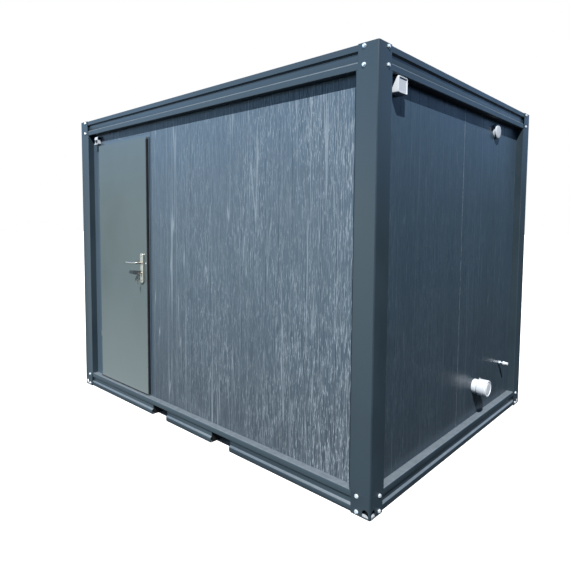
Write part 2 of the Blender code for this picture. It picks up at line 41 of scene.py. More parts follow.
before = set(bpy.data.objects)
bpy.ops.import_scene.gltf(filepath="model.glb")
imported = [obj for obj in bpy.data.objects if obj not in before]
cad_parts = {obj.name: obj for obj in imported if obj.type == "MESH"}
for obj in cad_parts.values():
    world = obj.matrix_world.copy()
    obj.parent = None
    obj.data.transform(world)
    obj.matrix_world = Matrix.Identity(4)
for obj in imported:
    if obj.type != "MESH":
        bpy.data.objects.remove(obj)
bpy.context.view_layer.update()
CYLINDER_DROP = 0.084               # spindle to lock cylinder, as on common euro locks
FOOT_PLATE_INSET = 0.0085           # from the sides of a foot
FOOT_PLATE_HEIGHTS = (0.0045, 0.0060)   # underside and top over the foot's underside
BOLTS_BELOW_TOP = (0.0167, 0.1096)
BOLTS_ABOVE_GROUND = (0.1067, 0.0201)
BOLT_FROM_CORNER = (0.0866, 0.0899)     # along X on front and back, along Y on the ends
KEY_LAMP = {"strength": 7.6, "degrees": 0.8, "source": (0.391, -0.528, 0.755), "tint": (1.0, 0.97, 0.93)}
FILL_LAMP = {"strength": 1.5, "degrees": 40, "source": (-0.55, 0.78, 0.30), "tint": (1.0, 1.0, 1.0)}
BRIGHT_SIDE = (-0.52, -0.84, 0.0)   # where the sky is brightest, to the left front
LENS, LENS_SHIFT = 31.09, (0.0212, -0.0551)
CAMERA_PLACE = (2.9343, -3.3703, 1.5838)
CAMERA_HEADING, CAMERA_TILT, CAMERA_ROLL = 0.7566, -0.0674, -0.0055

WALLS = {
    "front": (Vector((0, -1, 0)), ("front_wall_strip", "front_wall_header", "front_wall_1", "front_wall_2")),
    "back": (Vector((0, 1, 0)), ("back_wall_1", "back_wall_2", "back_wall_3")),
    "left": (Vector((-1, 0, 0)), ("left_wall_1", "left_wall_2")),
    "right": (Vector((1, 0, 0)), ("right_wall_1", "right_wall_2")),
}
CORNERS = (("back_left", -1, 1), ("back_right", 1, 1), ("front_left", -1, -1), ("front_right", 1, -1))
SIDES = ("back", "front", "left", "right")
X, Y, Z = Vector((1, 0, 0)), Vector((0, 1, 0)), Vector((0, 0, 1))


def linear(code):
    """An sRGB hex colour as linear RGBA."""
    parts = [int(code[i:i + 2], 16) / 255 for i in (1, 3, 5)]
    return tuple(p / 12.92 if p <= 0.04045 else ((p + 0.055) / 1.055) ** 2.4 for p in parts) + (1.0,)


def colour(name, code, use):
    return bpy.props.FloatVectorProperty(name=name, description=use, subtype="COLOR", size=4,
                                         min=0.0, max=1.0, default=linear(code))


def length(name, size, use):
    return bpy.props.FloatProperty(name=name, description=use, default=size, min=0.0,
                                   subtype="DISTANCE", unit="LENGTH", precision=4)


class CabinColours(bpy.types.PropertyGroup):
    frame_paint: colour("Frame paint", "#28353E", "Powder coat on posts and rails")
    # The long walls' own paint with painted light: the high colour holds painted sky reflection, the low colour
    # painted shade.
    wall_high: colour("Long wall, high up", "#55687A", "Coil coating of the long walls under the roof")
    wall_low: colour("Long wall, low down", "#444F59", "The same above the floor rail")
    # Painted highlight: pale colour laid along the crests of the long walls' ripples.
    wall_streak: colour("Long wall streaks", "#9EACB8", "Crests of the ripples that catch the light")
    # The end walls' colours are darker copies of the long walls' colours: painted shade.
    end_high: colour("End wall, high up", "#3A4E60", "Coil coating of the end walls under the roof")
    end_low: colour("End wall, low down", "#2D3943", "The same above the floor rail")
    # Painted highlight on the crests of the end walls' ripples.
    end_streak: colour("End wall streaks", "#53626E", "Crests of the ripples that catch the light")
    door_paint: colour("Door paint", "#4D5A5D", "Satin paint on the door leaf")
    jamb_paint: colour("Door frame paint", "#465664", "Satin paint on the frame round the door")
    # The door leaf turns towards this paler colour below waist height.
    splashes: colour("Dried splashes", "#6B7576", "Film on the lower part of the door")
    # Pale colour of frame faces that turn up: partly a dusting, partly painted light from above.
    dust: colour("Ledge dust", "#68727B", "Pale dust on ledges that face up")
    lining: colour("Lining", "#E4E6E4", "Coating on the room side of the panels")
    vinyl: colour("Floor vinyl", "#8A8D8C", "Sheet vinyl on the floor deck")
    plastic: colour("Fitting plastic", "#C4CCD6", "Vents, inlets and waste stub")
    stage_floor: colour("Stage floor", "#F4F5F6", "Plain floor under the cabin")


class CabinSizes(bpy.types.PropertyGroup):
    groove_pitch: length("Groove pitch", 0.110, "Distance between the grooves of a wall skin")
    groove_width: length("Groove width", 0.005, "Width of a groove")
    groove_depth: length("Groove depth", 0.0008, "Depth of a groove")
    fold_softness: length("Fold softness", 0.0018, "Rounding of the folds of posts and rails")
    bolt_width: length("Bolt head width", 0.0205, "Across the corners of a bolt head")
    bolt_height: length("Bolt head height", 0.009, "How far a bolt head stands out")
    washer_width: length("Washer width", 0.0235, "Outside width of a washer")
    seam_pitch: length("Roof seam pitch", 0.400, "Distance between the standing seams")
    seam_height: length("Roof seam height", 0.014, "Height of a standing seam")
    lever_radius: length("Lever radius", 0.0084, "Radius of the lever's round bar")
    key_size: length("Key head size", 0.032, "Height of the key's head")


# ---------------------------------------------------------------- materials
def node(tree, kind, inputs=None, **settings):
    """Add a node, set its properties, then fill or link its inputs."""
    made = tree.nodes.new(kind)
    for name, value in settings.items():
        setattr(made, name, value)
    for name, value in (inputs or {}).items():
        if isinstance(value, bpy.types.NodeSocket):
            tree.links.new(value, made.inputs[name])
        else:
            made.inputs[name].default_value = value
    return made


def blank(name):
    """A material with an empty tree but for its shader and output."""
    made = bpy.data.materials.new(name)
    made.use_nodes = True
    tree = made.node_tree
    shader = tree.nodes["Principled BSDF"]
    return made, tree, shader


def stretched_noise(tree, size_mm, detail=3.0, roughness=0.5):
    """Noise whose blobs are this big in millimetres along X, Y and Z."""
    place = node(tree, "ShaderNodeTexCoord").outputs["Object"]
    scaled = node(tree, "ShaderNodeMapping", {"Vector": place, "Scale": tuple(1000.0 / s for s in size_mm)})
    return node(tree, "ShaderNodeTexNoise", {
        "Vector": scaled.outputs["Vector"], "Scale": 1.0, "Detail": detail,
        "Roughness": roughness}).outputs["Fac"]


def shaded(paint, share):
    return tuple(c * share for c in paint[:3]) + (1.0,)


def coat(tree, shader, colours, roughness, relief=None, span=(0.3, 0.7)):
    """Blend two colours and two roughnesses, each pair followed by the pattern that blends it, over a
    relief given as (pattern, strength, depth). The roughness follows this span of its pattern."""
    blend = node(tree, "ShaderNodeMix", {6: colours[0], 7: colours[1], 0: colours[2]}, data_type="RGBA")
    gloss = node(tree, "ShaderNodeMapRange", {
        "Value": roughness[2], "From Min": span[0], "From Max": span[1],
        "To Min": roughness[0], "To Max": roughness[1]})
    tree.links.new(blend.outputs[2], shader.inputs["Base Color"])
    tree.links.new(gloss.outputs["Result"], shader.inputs["Roughness"])
    if relief:
        bump = node(tree, "ShaderNodeBump", {
            "Height": relief[0], "Strength": relief[1], "Distance": relief[2]})
        tree.links.new(bump.outputs["Normal"], shader.inputs["Normal"])


def powder_coated_steel(name, paint, dust):
    """Polyester powder baked on folded steel: an even satin skin with a faint orange peel, and a pale
    colour on every face that turns up: partly a dusting, partly painted light from above."""
    made, tree, shader = blank(name)
    peel = stretched_noise(tree, (7, 7, 7), 2.0)          # real peel is 2 mm, drawn 7 mm to show
    cloud = stretched_noise(tree, (260, 260, 420))
    grime = stretched_noise(tree, (40, 40, 40), 3.0, 0.6)
    clouded = node(tree, "ShaderNodeMapRange", {"Value": cloud, "From Min": 0.35, "From Max": 0.65})
    even = node(tree, "ShaderNodeMix", {
        0: clouded.outputs["Result"], 6: shaded(paint, 0.90), 7: shaded(paint, 1.10)}, data_type="RGBA")
    facing = node(tree, "ShaderNodeSeparateXYZ", {
        "Vector": node(tree, "ShaderNodeNewGeometry").outputs["Normal"]})
    # Faces that turn up take the pale colour: partly a dusting, partly painted light from above.
    up_facing_share = node(tree, "ShaderNodeMapRange", {
        "Value": facing.outputs["Z"], "From Min": 0.35, "From Max": 0.80})
    patchy = node(tree, "ShaderNodeMapRange", {
        "Value": grime, "From Min": 0.3, "From Max": 0.7, "To Min": 0.72, "To Max": 1.0})
    dust_and_light_share = node(tree, "ShaderNodeMath", {
        0: up_facing_share.outputs["Result"], 1: patchy.outputs["Result"]}, operation="MULTIPLY")
    coat(tree, shader, (even.outputs[2], dust, dust_and_light_share.outputs[0]), (0.31, 0.43, cloud), (peel, 0.12, 0.0006))
    return made


def crest_line(tree, noise, half_width):
    """1 along the lines where a noise crosses its middle value, falling to 0 beside them."""
    off_middle = node(tree, "ShaderNodeMath", {0: noise, 1: 0.5}, operation="SUBTRACT")
    distance = node(tree, "ShaderNodeMath", {0: off_middle.outputs[0]}, operation="ABSOLUTE")
    return node(tree, "ShaderNodeMapRange", {
        "Value": distance.outputs[0], "From Max": half_width, "To Min": 1.0, "To Max": 0.0}).outputs["Result"]


def coil_coated_sheet(name, high, low, streak, few, many):
    """Polyester paint rolled on thin steel sheet and glued to foam, with the sheet's fine upright
    ripples, about 7 mm wide and up to 200 mm long. Painted highlights run along their crests, and are
    more frequent towards +X: few and many are their strength at the two ends. Painted shade darkens
    the hollows. The colour goes from the low colour above the floor rail to the high colour under the
    roof: painted shade low down and painted sky reflection high up."""
    made, tree, shader = blank(name)
    ripple = stretched_noise(tree, (7, 7, 190), 3.0, 0.55)
    # crest and seldom are masks of painted highlight lines along the ripples; along and patchy set how many there
    # are.
    crest = crest_line(tree, stretched_noise(tree, (7, 7, 160)), 0.034)
    seldom = crest_line(tree, stretched_noise(tree, (60, 60, 2600), 1.0, 0.4), 0.009)
    patch = stretched_noise(tree, (330, 330, 900), 2.0)
    place = node(tree, "ShaderNodeSeparateXYZ", {
        "Vector": node(tree, "ShaderNodeTexCoord").outputs["Object"]}).outputs
    along = node(tree, "ShaderNodeMapRange", {
        "Value": place["X"], "From Min": -0.7, "From Max": 1.2, "To Min": few, "To Max": many})
    patchy = node(tree, "ShaderNodeMapRange", {
        "Value": patch, "From Min": 0.38, "From Max": 0.60, "To Min": 0.45, "To Max": 1.0})
    amount = node(tree, "ShaderNodeMath", {
        0: along.outputs["Result"], 1: patchy.outputs["Result"]}, operation="MULTIPLY")
    fine = node(tree, "ShaderNodeMath", {0: crest, 1: amount.outputs[0]}, operation="MULTIPLY")
    rare = node(tree, "ShaderNodeMath", {0: seldom, 1: 0.5}, operation="MULTIPLY")
    share = node(tree, "ShaderNodeMath", {0: fine.outputs[0], 1: rare.outputs[0]}, operation="MAXIMUM")
    # Painted light: the colour blends by height from the painted-shade low colour to the painted-sky-reflection
    # high colour.
    height = node(tree, "ShaderNodeMapRange", {"Value": place["Z"], "From Min": 0.2, "From Max": 2.2})
    paint = node(tree, "ShaderNodeMix", {0: height.outputs["Result"], 6: low, 7: high}, data_type="RGBA")
    # Painted shade: the hollows of the ripples are pulled up to 24 % towards near black.
    hollow_shade = node(tree, "ShaderNodeMapRange", {
        "Value": ripple, "From Min": 0.36, "From Max": 0.64, "To Min": 0.24, "To Max": 0.0})
    ripple_shaded = node(tree, "ShaderNodeMix", {
        0: hollow_shade.outputs["Result"], 6: paint.outputs[2], 7: (0.01, 0.015, 0.02, 1)}, data_type="RGBA")
    # Painted highlight: the crest colour is mixed in where the crest lines lie.
    coat(tree, shader, (ripple_shaded.outputs[2], streak, share.outputs[0]), (0.25, 0.37, patch),
         (ripple, 0.25, 0.0006))
    shader.inputs["Specular IOR Level"].default_value = 0.20
    return made


def satin_painted_steel(name, paint, low_tint):
    """Sprayed two-part paint on flat steel: smoother and lighter than the frame, faintly clouded, and
    paler towards the bottom, below waist height."""
    made, tree, shader = blank(name)
    cloud = stretched_noise(tree, (330, 330, 520), 2.0)
    clouded = node(tree, "ShaderNodeMapRange", {"Value": cloud, "From Min": 0.3, "From Max": 0.7})
    even = node(tree, "ShaderNodeMix", {
        0: clouded.outputs["Result"], 6: shaded(paint, 0.93), 7: shaded(paint, 1.07)}, data_type="RGBA")
    height = node(tree, "ShaderNodeSeparateXYZ", {
        "Vector": node(tree, "ShaderNodeTexCoord").outputs["Object"]})
    # Paler towards the bottom: full blend at 0.15 m, none above 1.1 m.
    low_share = node(tree, "ShaderNodeMapRange", {
        "Value": height.outputs["Z"], "From Min": 0.15, "From Max": 1.1, "To Min": 1.0, "To Max": 0.0})
    coat(tree, shader, (even.outputs[2], low_tint, low_share.outputs["Result"]), (0.19, 0.26, cloud),
         (stretched_noise(tree, (5, 5, 5), 2.0), 0.05, 0.0005))
    return made


def galvanised_steel(name):
    """Hot-dip zinc on steel: crystals 8 to 15 mm across, each a slightly different grey."""
    made, tree, shader = blank(name)
    place = node(tree, "ShaderNodeTexCoord").outputs["Object"]
    crystal = node(tree, "ShaderNodeTexVoronoi", {"Vector": place, "Scale": 1000.0 / 12})
    spangle = node(tree, "ShaderNodeSeparateColor", {"Color": crystal.outputs["Color"]}).outputs["Red"]
    coat(tree, shader, (linear("#8D969D"), linear("#B4BCC2"), spangle), (0.32, 0.50, spangle),
         span=(0.0, 1.0))
    shader.inputs["Metallic"].default_value = 0.85
    return made


def zinc_plated_steel(name):
    """Bright electroplated zinc on bolts and washers: bluish silver with fine handling marks."""
    made, tree, shader = blank(name)
    marks = stretched_noise(tree, (6, 6, 6))
    coat(tree, shader, (linear("#B9C6D0"), linear("#EEF5FA"), marks), (0.22, 0.38, marks))
    shader.inputs["Metallic"].default_value = 0.45
    return made


def satin_stainless_steel(name):
    """Ground 304 stainless: a warm pale grey with hairlines drawn 3 mm apart so that they show."""
    made, tree, shader = blank(name)
    hair = stretched_noise(tree, (3, 3, 90), 2.0)
    coat(tree, shader, (linear("#9A9489"), linear("#C2BCB0"), hair), (0.26, 0.40, hair))
    shader.inputs["Metallic"].default_value = 0.80
    return made


def moulded_pvc(name, paint):
    """Injection-moulded rigid PVC: white, half gloss, with slight flow clouding and a fine grain."""
    made, tree, shader = blank(name)
    cloud = stretched_noise(tree, (45, 45, 45), 2.0)
    coat(tree, shader, (shaded(paint, 0.90), paint, cloud), (0.30, 0.42, cloud),
         (stretched_noise(tree, (2.5, 2.5, 2.5), 2.0), 0.06, 0.0003))
    return made


def extruded_rubber(name):
    """Extruded EPDM or nylon: near black and matt, with a faint bloom."""
    made, tree, shader = blank(name)
    bloom = stretched_noise(tree, (30, 30, 60), 2.0)
    coat(tree, shader, (linear("#0C0D0E"), linear("#17191B"), bloom), (0.5, 0.7, bloom))
    return made


def sheet_vinyl(name, paint):
    """Calendered vinyl flooring: grey with printed flecks, drawn 5 mm across so that they show."""
    made, tree, shader = blank(name)
    place = node(tree, "ShaderNodeTexCoord").outputs["Object"]
    fleck = node(tree, "ShaderNodeTexVoronoi", {"Vector": place, "Scale": 1000.0 / 5})
    share = node(tree, "ShaderNodeSeparateColor", {"Color": fleck.outputs["Color"]}).outputs["Green"]
    coat(tree, shader, (shaded(paint, 0.82), shaded(paint, 1.16), share), (0.38, 0.5, share),
         span=(0.0, 1.0))
    return made


def lacquered_lining(name, paint):
    """White coil-coated lining: even, low gloss, with a faint waviness from the foam."""
    made, tree, shader = blank(name)
    wave = stretched_noise(tree, (90, 90, 260), 2.0)
    coat(tree, shader, (shaded(paint, 0.94), paint, wave), (0.38, 0.48, wave), (wave, 0.1, 0.001))
    return made


def finish(kind):
    """The material of that name, made the first time it is asked for."""
    known = bpy.data.materials.get("cabin_" + kind)
    if known:
        return known
    colours = bpy.context.scene.cabin_colours
    hue = {name: tuple(getattr(colours, name)) for name in colours.__annotations__}
    makers = {
        "frame": (powder_coated_steel, hue["frame_paint"], hue["dust"]),
        "long_wall": (coil_coated_sheet, hue["wall_high"], hue["wall_low"], hue["wall_streak"], 0.15, 1.0),
        # Painted shade: the end walls get the same finish in darker colours.
        "end_wall": (coil_coated_sheet, hue["end_high"], hue["end_low"], hue["end_streak"], 0.6, 0.6),
        "door": (satin_painted_steel, hue["door_paint"], hue["splashes"]),
        "door_frame": (satin_painted_steel, hue["jamb_paint"], hue["jamb_paint"]),
        "galvanised": (galvanised_steel,),
        "zinc": (zinc_plated_steel,),
        "stainless": (satin_stainless_steel,),
        "plastic": (moulded_pvc, hue["plastic"]),
        "rubber": (extruded_rubber,),
        "vinyl": (sheet_vinyl, hue["vinyl"]),
        "lining": (lacquered_lining, hue["lining"]),
    }
    maker, *values = makers[kind]
    return maker("cabin_" + kind, *values)


# ---------------------------------------------------------------- mesh helpers
def skin(work, loops):
    """Join rings of points into one closed shell."""
    rings = [[work.verts.new(point) for point in loop] for loop in loops]
    for first, second in zip(rings, rings[1:]):
        for i in range(len(first)):
            j = (i + 1) % len(first)
            work.faces.new((first[i], first[j], second[j], second[i]))
    work.faces.new(rings[0])
    work.faces.new(list(reversed(rings[-1])))


def block(work, low, high):
    corners = [(low[0], low[1]), (high[0], low[1]), (high[0], high[1]), (low[0], high[1])]
    skin(work, [[(x, y, z) for x, y in corners] for z in (low[2], high[2])])


def rounded(width, height, radius, steps=5):
    """Outline of a rectangle with round corners, centred on its own middle."""
    points = []
    for cx, cy, start in ((1, 1, 0), (-1, 1, 90), (-1, -1, 180), (1, -1, 270)):
        for step in range(steps + 1):
            angle = math.radians(start + 90 * step / steps)
            points.append((cx * (width / 2 - radius) + radius * math.cos(angle),
                           cy * (height / 2 - radius) + radius * math.sin(angle)))
    return points


def pillow(work, middle, across, up, out, width, height, radius, rises):
    """A moulded plate: rounded outlines that step in by an inset at each rise."""
    loops = []
    for inset, rise in rises:
        outline = rounded(width - 2 * inset, height - 2 * inset, max(radius - inset, 0.0004))
        loops.append([middle + across * a + up * b + out * rise for a, b in outline])
    skin(work, loops)


def basis(along):
    along = along.normalized()
    side = along.cross(Z if abs(along.z) < 0.9 else X).normalized()
    return side, along.cross(side).normalized()


def circle(middle, side, over, radius, sides):
    turns = (2 * math.pi * k / sides for k in range(sides))
    return [middle + (side * math.cos(t) + over * math.sin(t)) * radius for t in turns]


def turned(work, start, along, profile, sides=36):
    """A lathe-turned shape: (distance, radius) pairs along an axis."""
    side, over = basis(along)
    skin(work, [circle(start + along * distance, side, over, radius, sides) for distance, radius in profile])


def tube(work, path, radii, sides=14):
    """A round bar that follows a path, with a radius for each point."""
    side, _ = basis(path[1] - path[0])
    loops = []
    for i, point in enumerate(path):
        ahead = (path[min(i + 1, len(path) - 1)] - path[max(i - 1, 0)]).normalized()
        side = (side - ahead * side.dot(ahead)).normalized()
        loops.append(circle(point, side, ahead.cross(side), radii[i], sides))
    skin(work, loops)


def ring(work, path, axis, radius, sides=8):
    """A round bar along a closed path that lies square to an axis."""
    rows = []
    for i, point in enumerate(path):
        ahead = (path[(i + 1) % len(path)] - path[i - 1]).normalized()
        rows.append([work.verts.new(p) for p in circle(point, axis, ahead.cross(axis), radius, sides)])
    for i in range(len(rows)):
        for k in range(sides):
            m = (k + 1) % sides
            work.faces.new((rows[i - 1][k], rows[i - 1][m], rows[i][m], rows[i][k]))


def cad_copy(*names):
    """The welded shape of these CAD nodes, with their flat faces made whole."""
    work = bmesh.new()
    for name in names:
        work.from_mesh(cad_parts[name].data)
    bmesh.ops.remove_doubles(work, verts=work.verts[:], dist=0.00002)
    bmesh.ops.dissolve_limit(work, angle_limit=math.radians(1), verts=work.verts[:], edges=work.edges[:])
    for face in work.faces:
        face.material_index = 0
    return work


def bake(thing):
    """Turn the object's modifiers into its mesh."""
    bpy.context.view_layer.update()
    seen = thing.evaluated_get(bpy.context.evaluated_depsgraph_get())
    mesh = bpy.data.meshes.new_from_object(seen)
    thing.modifiers.clear()
    thing.data = mesh


def keep(name, work, kinds, body="cabin", stands_for=(), soft=0.0, steps=2,
         sharp=25, skip=None, recalculate=True):
    """Make a piece of a finished mesh, soften its edges and let it ride on a body."""
    if recalculate:
        bmesh.ops.recalc_face_normals(work, faces=work.faces[:])
    if soft:
        weight = work.edges.layers.float.new("bevel_weight_edge")
        for edge in work.edges:
            if len(edge.link_faces) == 2 and edge.calc_face_angle(0.0) > math.radians(sharp):
                if not (skip and skip(edge)):
                    edge[weight] = 1.0
    mesh = bpy.data.meshes.new(name)
    work.to_mesh(mesh)
    work.free()
    for kind in kinds:
        mesh.materials.append(finish(kind))
    mesh.shade_smooth()
    mesh.set_sharp_from_angle(angle=math.radians(32))
    thing = bpy.data.objects.new(name, mesh)
    bpy.context.scene.collection.objects.link(thing)
    if soft:
        bevel = thing.modifiers.new("Softened edges", "BEVEL")
        bevel.limit_method = "WEIGHT"
        bevel.width = soft
        bevel.segments = steps
        bevel.harden_normals = True
        bake(thing)
    return settle(thing, body, stands_for)


def settle(thing, body, stands_for=()):
    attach(thing, body)
    if stands_for:
        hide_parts(*stands_for)
    return thing


def repaint(kind, *names):
    """Give CAD nodes that keep their shape a better finish."""
    for name in names:
        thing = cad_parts[name]
        thing.data.materials.clear()
        thing.data.materials.append(finish(kind))


# ---------------------------------------------------------------- geometry nodes
def open_tree(name, numbers):
    """A geometry tree with named inputs and its material input last."""
    tree = bpy.data.node_groups.new(name, "GeometryNodeTree")
    tree.interface.new_socket("Geometry", in_out="INPUT", socket_type="NodeSocketGeometry")
    tree.interface.new_socket("Geometry", in_out="OUTPUT", socket_type="NodeSocketGeometry")
    for label, value in numbers.items():
        kind = "NodeSocketInt" if isinstance(value, int) else "NodeSocketFloat"
        tree.interface.new_socket(label, in_out="INPUT", socket_type=kind).default_value = value
    tree.interface.new_socket("Material", in_out="INPUT", socket_type="NodeSocketMaterial")
    return tree, node(tree, "NodeGroupInput").outputs


def close_tree(tree, instances, given):
    real = node(tree, "GeometryNodeRealizeInstances", {"Geometry": instances})
    painted = node(tree, "GeometryNodeSetMaterial", {
        "Geometry": real.outputs["Geometry"], "Material": given["Material"]})
    node(tree, "NodeGroupOutput", {"Geometry": painted.outputs["Geometry"]})


def fixings_tree():
    """A washer and a headed fixing on every point, turned to its 'facing' direction."""
    tree, given = open_tree("cabin_fixings", {
        "Sides": 6, "Head Width": 0.024, "Head Height": 0.009, "Washer Width": 0.030,
        "Washer Thickness": 0.002})
    half = {}
    for label in ("Head Width", "Head Height", "Washer Width", "Washer Thickness"):
        half[label] = node(tree, "ShaderNodeMath", {0: given[label], 1: 0.5}, operation="MULTIPLY").outputs[0]
    washer = node(tree, "GeometryNodeMeshCylinder", {
        "Vertices": 24, "Radius": half["Washer Width"], "Depth": given["Washer Thickness"]})
    washer = node(tree, "GeometryNodeTransform", {
        "Geometry": washer.outputs["Mesh"],
        "Translation": node(tree, "ShaderNodeCombineXYZ", {"Z": half["Washer Thickness"]}).outputs[0]})
    body_top = node(tree, "ShaderNodeMath", {0: given["Head Height"], 1: 0.72},
                    operation="MULTIPLY").outputs[0]
    shank = node(tree, "GeometryNodeMeshCylinder", {
        "Vertices": given["Sides"], "Radius": half["Head Width"], "Depth": body_top})
    lift = node(tree, "ShaderNodeMath", {0: body_top, 1: 0.5}, operation="MULTIPLY").outputs[0]
    shank = node(tree, "GeometryNodeTransform", {
        "Geometry": shank.outputs["Mesh"],
        "Translation": node(tree, "ShaderNodeCombineXYZ", {"Z": lift}).outputs[0]})
    crown_height = node(tree, "ShaderNodeMath", {0: given["Head Height"], 1: 0.28},
                        operation="MULTIPLY").outputs[0]
    crown_top = node(tree, "ShaderNodeMath", {0: half["Head Width"], 1: 0.80},
                     operation="MULTIPLY").outputs[0]
    crown = node(tree, "GeometryNodeMeshCone", {
        "Vertices": given["Sides"], "Radius Top": crown_top, "Radius Bottom": half["Head Width"],
        "Depth": crown_height})
    crown = node(tree, "GeometryNodeTransform", {
        "Geometry": crown.outputs["Mesh"],
        "Translation": node(tree, "ShaderNodeCombineXYZ", {"Z": body_top}).outputs[0]})
    whole = node(tree, "GeometryNodeJoinGeometry")
    for part in (washer, shank, crown):
        tree.links.new(part.outputs["Geometry"], whole.inputs["Geometry"])
    facing = node(tree, "GeometryNodeInputNamedAttribute", {"Name": "facing"}, data_type="FLOAT_VECTOR")
    turn = node(tree, "FunctionNodeAlignRotationToVector", {"Vector": facing.outputs["Attribute"]}, axis="Z")
    placed = node(tree, "GeometryNodeInstanceOnPoints", {
        "Points": given["Geometry"], "Instance": whole.outputs["Geometry"],
        "Rotation": turn.outputs["Rotation"]})
    close_tree(tree, placed.outputs["Instances"], given)
    return tree


def seams_tree():
    """Equal bars in a row, starting at the one point of the base mesh."""
    tree, given = open_tree("cabin_roof_seams", {
        "Count": 7, "Pitch": 0.4, "Bar Width": 0.012, "Bar Length": 2.0, "Bar Height": 0.014})
    bar = node(tree, "GeometryNodeMeshCube", {"Size": node(tree, "ShaderNodeCombineXYZ", {
        "X": given["Bar Width"], "Y": given["Bar Length"], "Z": given["Bar Height"]}).outputs[0]})
    row = node(tree, "GeometryNodeMeshLine", {
        "Count": given["Count"],
        "Offset": node(tree, "ShaderNodeCombineXYZ", {"X": given["Pitch"]}).outputs[0]})
    anchor = node(tree, "GeometryNodeInstanceOnPoints", {
        "Points": given["Geometry"], "Instance": row.outputs["Mesh"]})
    line = node(tree, "GeometryNodeRealizeInstances", {"Geometry": anchor.outputs["Instances"]})
    placed = node(tree, "GeometryNodeInstanceOnPoints", {
        "Points": line.outputs["Geometry"], "Instance": bar.outputs["Mesh"]})
    close_tree(tree, placed.outputs["Instances"], given)
    return tree


def grow(name, tree, points, values, kind, body="cabin", facings=None):
    """Run a tree on these points and keep the result as a plain mesh."""
    mesh = bpy.data.meshes.new(name)
    mesh.from_pydata([tuple(p) for p in points], [], [])
    if facings:
        layer = mesh.attributes.new("facing", "FLOAT_VECTOR", "POINT")
        layer.data.foreach_set("vector", [c for f in facings for c in f])
    thing = bpy.data.objects.new(name, mesh)
    bpy.context.scene.collection.objects.link(thing)
    modifier = thing.modifiers.new("Repeat", "NODES")
    modifier.node_group = tree
    for item in tree.interface.items_tree:
        if item.in_out == "INPUT" and item.name in values:
            modifier[item.identifier] = values[item.name]
        if item.in_out == "INPUT" and item.name == "Material":
            modifier[item.identifier] = finish(kind)
    bake(thing)
    if not thing.data.polygons:
        raise RuntimeError(f"{name} came out empty")
    thing.data.shade_smooth()
    thing.data.set_sharp_from_angle(angle=math.radians(30))
    return settle(thing, body)


def fixings(name, points, facings, kind, body="cabin", slot=None, **values):
    tree = bpy.data.node_groups.get("cabin_fixings") or fixings_tree()
    labels = {key.replace("_", " ").title(): value for key, value in values.items()}
    return grow(name, tree, points, labels, kind, body, facings)


# ---------------------------------------------------------------- operators
class BuildFrame(bpy.types.Operator):
    """Posts and rails with softened folds, and the zinc plates in their feet"""
    bl_idname = "cabin.build_frame"
    bl_label = "Frame"

    def execute(self, context):
        soft = context.scene.cabin_sizes.fold_softness
        for corner, _, _ in CORNERS:
            nodes = (f"corner_post_{corner}", f"corner_foot_{corner}")
            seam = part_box(nodes[1])[1].z
            keep(f"post_{corner}", cad_copy(*nodes), ["frame"], stands_for=nodes,
                 soft=soft, recalculate=False,
                 skip=lambda e, seam=seam: all(abs(v.co.z - seam) < 0.002 for v in e.verts))
            low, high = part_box(nodes[1])
            plate = bmesh.new()
            inset, (bottom, top) = FOOT_PLATE_INSET, FOOT_PLATE_HEIGHTS
            block(plate, (low.x + inset, low.y + inset, low.z + bottom),
                  (high.x - inset, high.y - inset, low.z + top))
            keep(f"foot_plate_{corner}", plate, ["zinc"], soft=0.0004)
        for side in SIDES:
            for level in ("roof", "floor"):
                name = f"{level}_rail_{side}"
                keep(f"{level}_beam_{side}", cad_copy(name), ["frame"],
                     stands_for=(name,), soft=soft, recalculate=False)
        # Painted shade: the steel fork sleeves take the near-black rubber finish so the pockets read dark.
        repaint("rubber", "fork_sleeve_left", "fork_sleeve_right")
        repaint("galvanised", "floor_beam_1", "floor_beam_2", "floor_beam_3", "floor_underlay")
        return {"FINISHED"}


class BuildBolts(bpy.types.Operator):
    """Hexagon bolts and washers at the ends of every post"""
    bl_idname = "cabin.build_bolts"
    bl_label = "Bolts"

    def execute(self, context):
        sizes = context.scene.cabin_sizes
        points, facings = [], []
        for corner, side_x, side_y in CORNERS:
            low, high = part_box(f"corner_post_{corner}")
            out_x = high.x if side_x > 0 else low.x
            out_y = high.y if side_y > 0 else low.y
            for z in (*(high.z - drop for drop in BOLTS_BELOW_TOP), *BOLTS_ABOVE_GROUND):
                points.append((out_x - side_x * BOLT_FROM_CORNER[0], out_y, z))
                facings.append((0, side_y, 0))
                points.append((out_x, out_y - side_y * BOLT_FROM_CORNER[1], z))
                facings.append((side_x, 0, 0))
        fixings("bolts", points, facings, "zinc", slot="hinge_steel", head_width=sizes.bolt_width,
                head_height=sizes.bolt_height, washer_width=sizes.washer_width)
        return {"FINISHED"}


